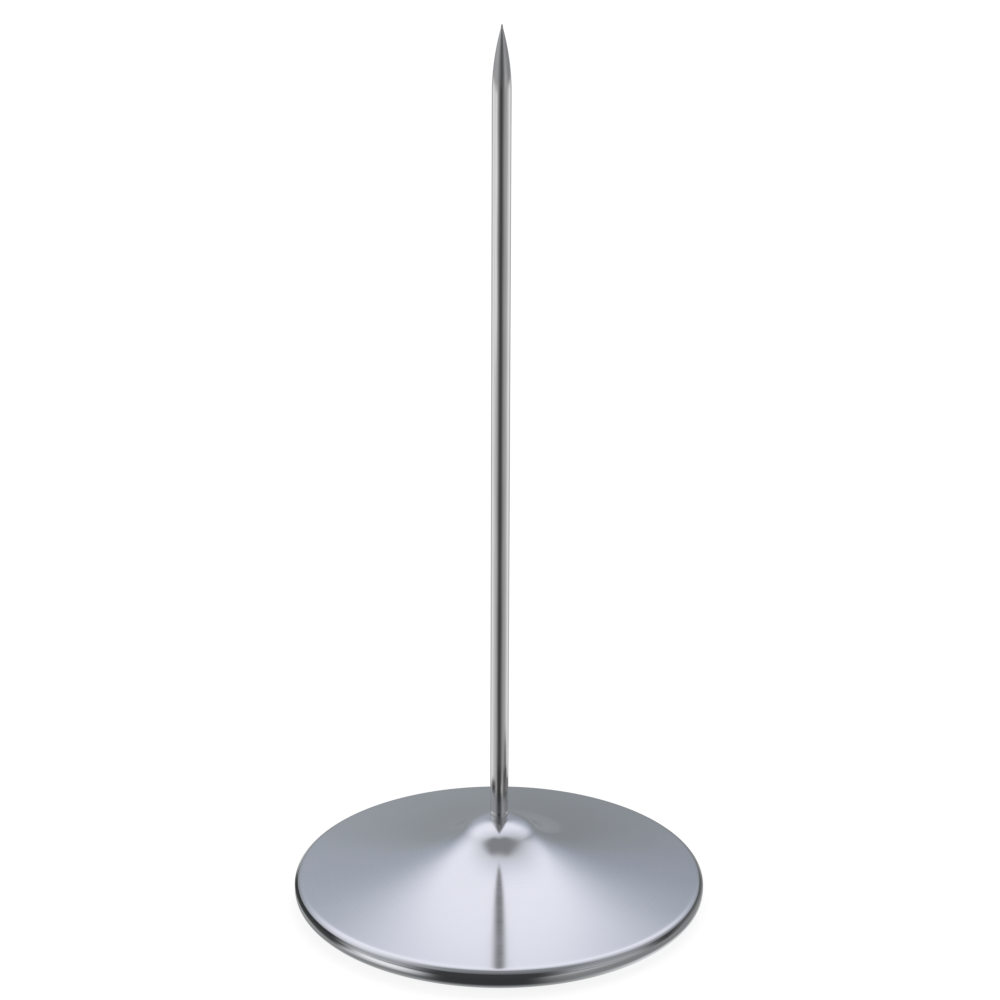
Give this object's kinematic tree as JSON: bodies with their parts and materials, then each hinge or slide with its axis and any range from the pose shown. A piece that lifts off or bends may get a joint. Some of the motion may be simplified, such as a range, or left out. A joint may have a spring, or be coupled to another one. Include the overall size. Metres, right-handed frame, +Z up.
{
  "type": "receipt spike",
  "caption": "Upright pointed steel spike on a round bell-shaped polished steel base with a rolled rim, for pushing paper slips down onto it.",
  "frame": {"origin": "centre of the rubber pad's underside, on the surface that the object stands on", "axes": "+Z up along the spike's axis; the object is turned about that axis, so X and Y are free"},
  "size_m": [0.08, 0.08, 0.168],
  "materials": {
    "polished_cover": "polished stainless steel sheet, soft mirror",
    "ground_spike": "polished stainless steel rod with a ground point",
    "iron_weight": "raw grey iron casting",
    "zinc_hardware": "zinc plated steel",
    "spring_steel": "dark spring steel",
    "plate_steel": "matte rolled steel sheet",
    "pad_rubber": "matte black rubber"
  },
  "bodies": {
    "root": {"spike": "ground_spike", "base_cover": "polished_cover", "base_weight": "iron_weight", "flat_washer": "zinc_hardware", "lock_washer": "spring_steel", "hex_nut": "zinc_hardware", "bottom_plate": "plate_steel", "anti_slip_pad": "pad_rubber"}
  },
  "joints": []
}
